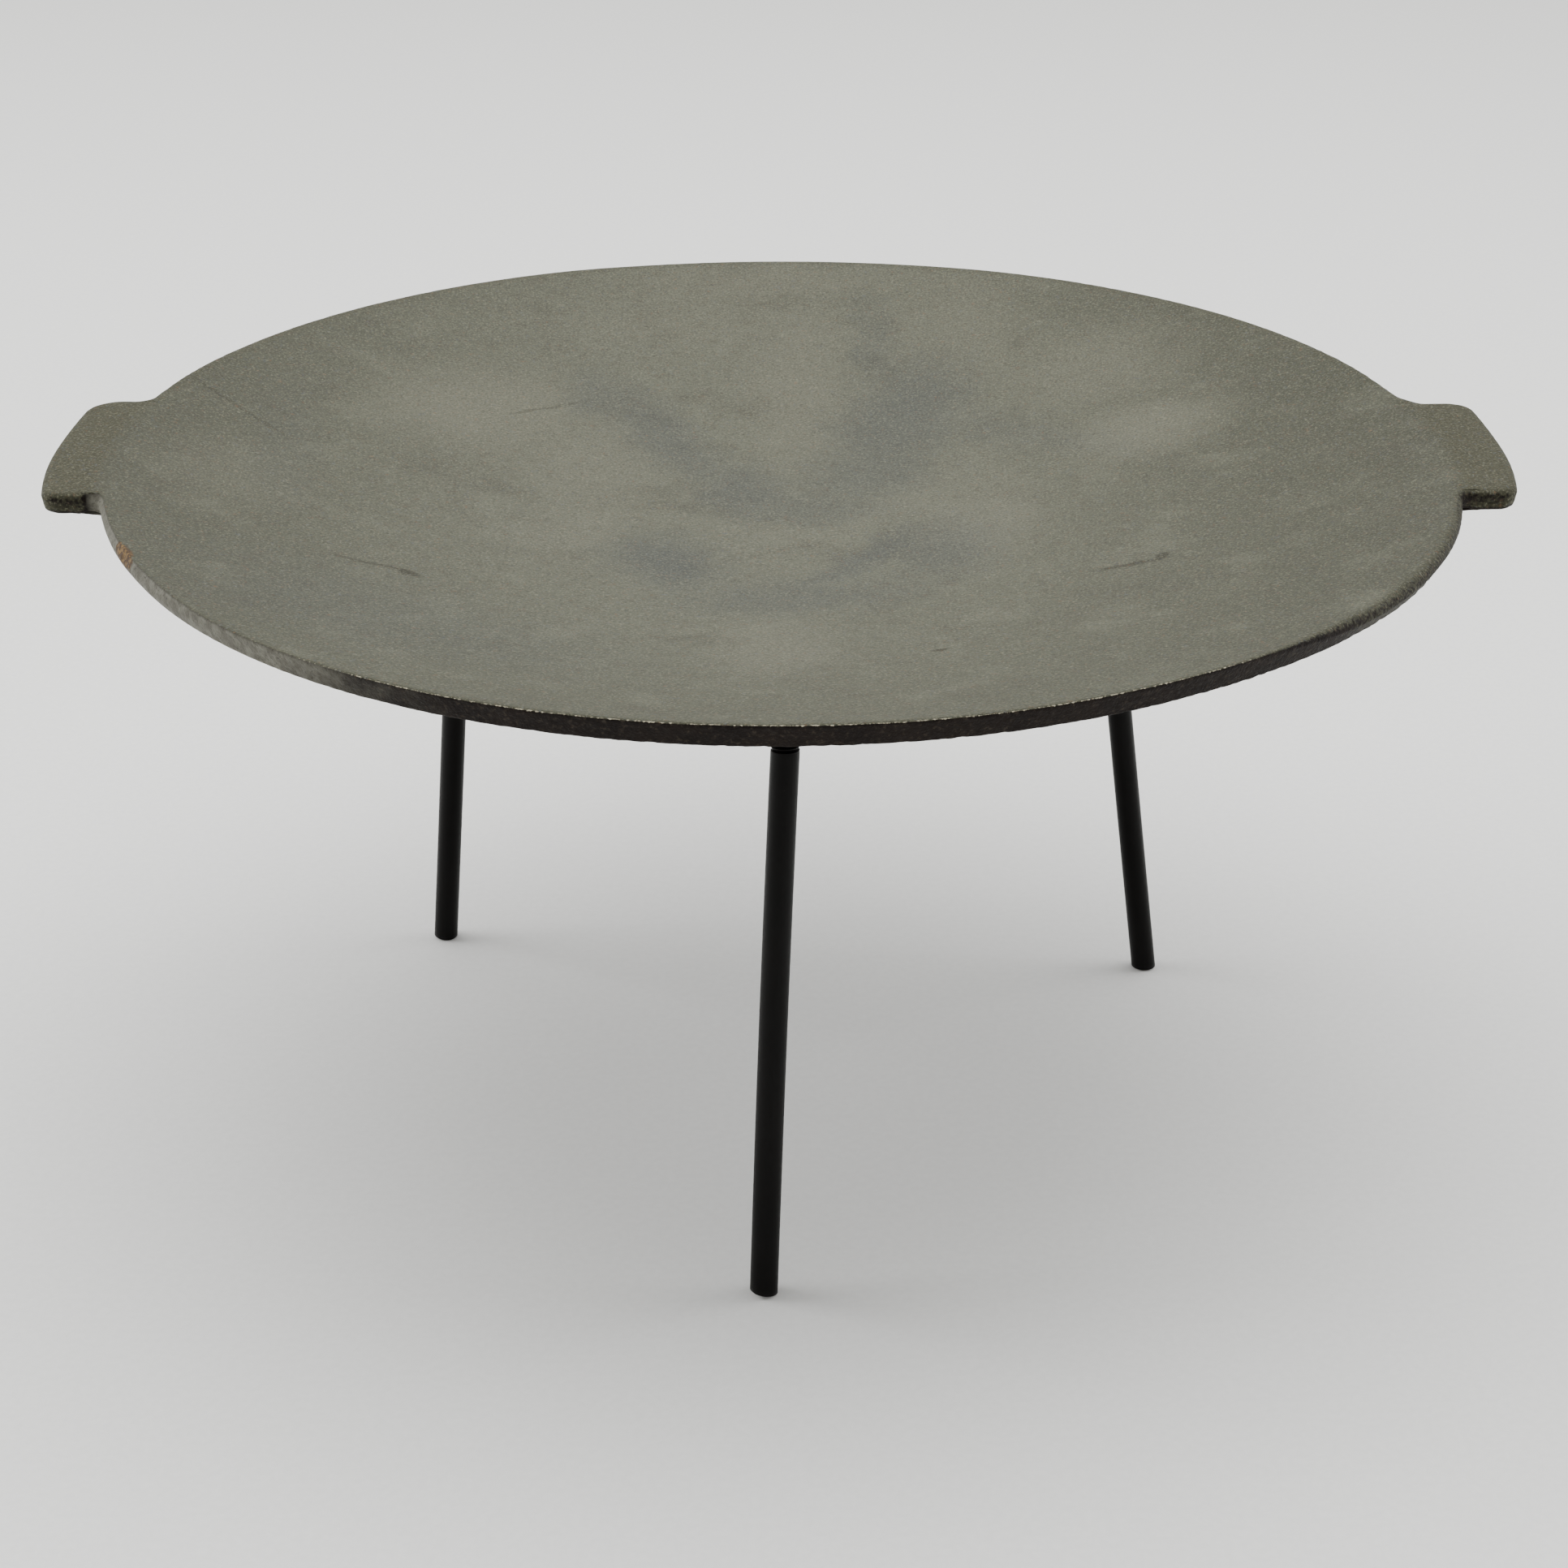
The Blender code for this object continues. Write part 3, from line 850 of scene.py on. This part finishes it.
def cast_iron():
    """Grey iron as it left the sand mould, lightly oiled: a dull, gritty, olive-grey bowl stained by heat,
    with a painted pool of light and painted shade on the ears; a near-black burnt-on skin on the wall and the
    underside, which on the ears' walls is painted shade; a pale ground stretch of wall that is partly painted
    light; and pale flecks where the edge is rubbed, which are partly a painted highlight."""
    material, tree, shader = new_material("sand_cast_grey_iron_oiled")
    place = add(tree, "ShaderNodeTexCoord", output="Object")
    skin, wear_and_highlight, fettled_and_lit, rust = (
        add(tree, "ShaderNodeAttribute", output="Fac", attribute_name=name)
        for name in ("skin", "wear_and_highlight", "fettled_and_lit", "rust")
    )
    bowl = bowl_colour(tree, place)
    burnt = scattered(tree, "0f0805", "170f0a", place, 14 * MM, 0.35, 0.65)
    burnt = scattered(tree, burnt, "3a332b", place, 1.6 * MM, 0.52, 0.74, 0.7)
    # The ground stretch's pale iron is partly painted light, where the left lamp falls on the wall.
    ground = scattered(tree, "55534a", "6b6a60", place, 4 * MM, 0.35, 0.65)
    ground = scattered(tree, ground, "2c2a25", place, 1.2 * MM, 0.45, 0.3, 0.6)
    wall = add(tree, "ShaderNodeMix", {0: fettled_and_lit, 6: burnt, 7: ground}, 2, data_type="RGBA")

    # The skin, the rubbed edge and the rust all break up along the same gritty lines.
    grit = add(tree, "ShaderNodeTexNoise", {"Vector": place, "Scale": 1 / (1.2 * MM), "Detail": 3.0})
    grit = add(tree, "ShaderNodeMath", {0: grit, 1: 0.5}, operation="SUBTRACT")
    colour = bowl
    for part, finish, raggedness, none_at, most_at, most in (
        (skin, wall, 0.9, 0.2, 0.6, 1.0),
        # The pale edge colour is partly wear and partly a painted highlight.
        (wear_and_highlight, "b3ad96", 1.6, 0.64, 0.92, 0.95),
        (rust, scattered(tree, "412d1c", "80653c", place, 1.6 * MM, 0.46, 0.68), 0.8, 0.2, 0.6, 0.85),
    ):
        level = add(tree, "ShaderNodeMath", {0: grit, 1: raggedness, 2: part}, operation="MULTIPLY_ADD")
        levels = {"Value": level, "From Min": none_at, "From Max": most_at, "To Max": most}
        share = add(tree, "ShaderNodeMapRange", levels, interpolation_type="SMOOTHSTEP")
        colour = add(tree, "ShaderNodeMix", {0: share, 6: colour, 7: finish}, 2, data_type="RGBA")
    tree.links.new(colour, shader.inputs["Base Color"])

    fine = add(tree, "ShaderNodeTexNoise", {"Vector": place, "Scale": 1 / (0.8 * MM), "Detail": 3.0})
    levels = {"Value": fine, "From Min": 0.3, "From Max": 0.7, "To Min": 0.55, "To Max": 0.75}
    gloss = add(tree, "ShaderNodeMapRange", levels)
    tree.links.new(gloss, shader.inputs["Roughness"])
    shader.inputs["Metallic"].default_value = 0.0
    shader.inputs["Specular IOR Level"].default_value = 0.13
    coarse = add(tree, "ShaderNodeTexNoise", {"Vector": place, "Scale": 1 / (2.0 * MM), "Detail": 3.0})
    height = add(tree, "ShaderNodeMath", {0: fine, 1: coarse}, operation="ADD")
    bumpy = add(tree, "ShaderNodeBump", {"Height": height, "Strength": 0.6, "Distance": 0.5 * MM})
    tree.links.new(bumpy, shader.inputs["Normal"])
    return material


def black_coat():
    """Round steel bar with a baked satin black coat: soft highlights down its sides, faint drawing lines
    along it and a trace of dust."""
    material, tree, shader = new_material("steel_bar_baked_satin_black")
    place = add(tree, "ShaderNodeTexCoord", output="Object")
    colour = scattered(tree, "060504", "0a0807", place, 22 * MM, 0.35, 0.65)
    colour = scattered(tree, colour, "26221d", place, 1.0 * MM, 0.66, 0.8, 0.4)
    tree.links.new(colour, shader.inputs["Base Color"])
    lengthwise = add(tree, "ShaderNodeMapping", {"Vector": place, "Scale": (1, 1, 0.03)})
    lines = add(tree, "ShaderNodeTexNoise", {"Vector": lengthwise, "Scale": 1 / (0.6 * MM), "Detail": 3.0})
    peel = add(tree, "ShaderNodeTexNoise", {"Vector": place, "Scale": 1 / (1.6 * MM), "Detail": 2.0})
    height = add(tree, "ShaderNodeMath", {0: lines, 1: peel}, operation="ADD")
    levels = {"Value": height, "From Min": 0.6, "From Max": 1.4, "To Min": 0.34, "To Max": 0.5}
    gloss = add(tree, "ShaderNodeMapRange", levels)
    tree.links.new(gloss, shader.inputs["Roughness"])
    shader.inputs["Specular IOR Level"].default_value = 0.1
    bumpy = add(tree, "ShaderNodeBump", {"Height": height, "Strength": 0.25, "Distance": 0.12 * MM})
    tree.links.new(bumpy, shader.inputs["Normal"])
    return material


def sawn_steel():
    """Bare steel as the hacksaw left it: parallel scores across a grey face, with brown stains."""
    material, tree, shader = new_material("mild_steel_sawn")
    place = add(tree, "ShaderNodeTexCoord", output="Object")
    crosswise = add(tree, "ShaderNodeMapping", {"Vector": place, "Scale": (0.05, 1, 1)})
    scores = add(tree, "ShaderNodeTexNoise", {"Vector": crosswise, "Scale": 1 / (0.35 * MM), "Detail": 2.0})
    colour = scattered(tree, "3c3935", "6f6b66", crosswise, 0.35 * MM, 0.35, 0.65)
    colour = scattered(tree, colour, "33241a", place, 2.5 * MM, 0.5, 0.7)
    tree.links.new(colour, shader.inputs["Base Color"])
    shader.inputs["Metallic"].default_value = 0.9
    shader.inputs["Roughness"].default_value = 0.45
    bumpy = add(tree, "ShaderNodeBump", {"Height": scores, "Strength": 0.5, "Distance": 0.1 * MM})
    tree.links.new(bumpy, shader.inputs["Normal"])
    return material


def studio_paper():
    """Matt white background paper: even, with the faintest tooth."""
    material, tree, shader = new_material("background_paper_matt")
    place = add(tree, "ShaderNodeTexCoord", output="Object")
    tree.links.new(scattered(tree, "f3f3f1", "f7f7f5", place, 3 * MM, 0.3, 0.7), shader.inputs["Base Color"])
    shader.inputs["Roughness"].default_value = 0.9
    shader.inputs["Specular IOR Level"].default_value = 0.1
    return material


# The studio


def make_floor():
    """A sheet of paper 16 m across, which fills the whole view from the camera."""
    bpy.ops.mesh.primitive_plane_add(size=16)
    floor = bpy.context.object
    floor.name = "studio_floor"
    floor.data.materials.append(studio_paper())


def make_softbox(name, place, aim, width, height, power):
    """A flat lamp this wide and high in metres, with its power in watts."""
    data = bpy.data.lights.new(name, "AREA")
    data.shape = "RECTANGLE"
    data.size, data.size_y, data.energy = width, height, power
    lamp = bpy.data.objects.new(name, data)
    bpy.context.scene.collection.objects.link(lamp)
    lamp.location = place
    lamp.rotation_euler = (Vector(aim) - Vector(place)).to_track_quat("-Z", "Y").to_euler()


def make_lights():
    """A wide box overhead, one at each side, and a room that is dimmer behind the camera."""
    middle = (0, 0, RIM_TOP)
    make_softbox("overhead_box", (0.0, 0.3, 2.2), middle, 3.0, 2.4, 62)
    make_softbox("left_box", (-4.2, 0.7, 1.9), middle, 2.6, 2.8, 130)
    make_softbox("right_box", (4.2, 0.9, 1.9), middle, 2.6, 2.8, 78)
    world = bpy.data.worlds.new("studio_room")
    bpy.context.scene.world = world
    world.use_nodes = True
    tree = world.node_tree
    sky = tree.nodes["Background"]
    view = add(tree, "ShaderNodeTexCoord", output="Generated")
    depth = add(tree, "ShaderNodeSeparateXYZ", {0: view}, "Y")
    levels = {"Value": depth, "From Min": -0.6, "From Max": 0.5}
    share = add(tree, "ShaderNodeMapRange", levels, interpolation_type="SMOOTHSTEP")
    wall = add(tree, "ShaderNodeMix", {0: share, 6: "8a8a88", 7: "f4f4f2"}, 2, data_type="RGBA")
    tree.links.new(wall, sky.inputs["Color"])
    sky.inputs["Strength"].default_value = 1.25


def make_camera():
    """A 70 mm lens about a metre in front of the dish, looking down at it."""
    data = bpy.data.cameras.new("camera")
    data.lens = 69.84
    data.sensor_width = 36
    camera = bpy.data.objects.new("camera", data)
    bpy.context.scene.collection.objects.link(camera)
    camera.location = (2.25 * MM, -1076 * MM, RIM_TOP + 378 * MM)
    camera.rotation_euler = (math.radians(90 - 25.69), 0, 0)
    bpy.context.scene.camera = camera


def main():
    make_camera()
    make_casting(cast_iron())
    coat, sawn = black_coat(), sawn_steel()
    for leg in LEGS:
        make_leg(leg, coat, sawn)
    make_floor()
    make_lights()


main()
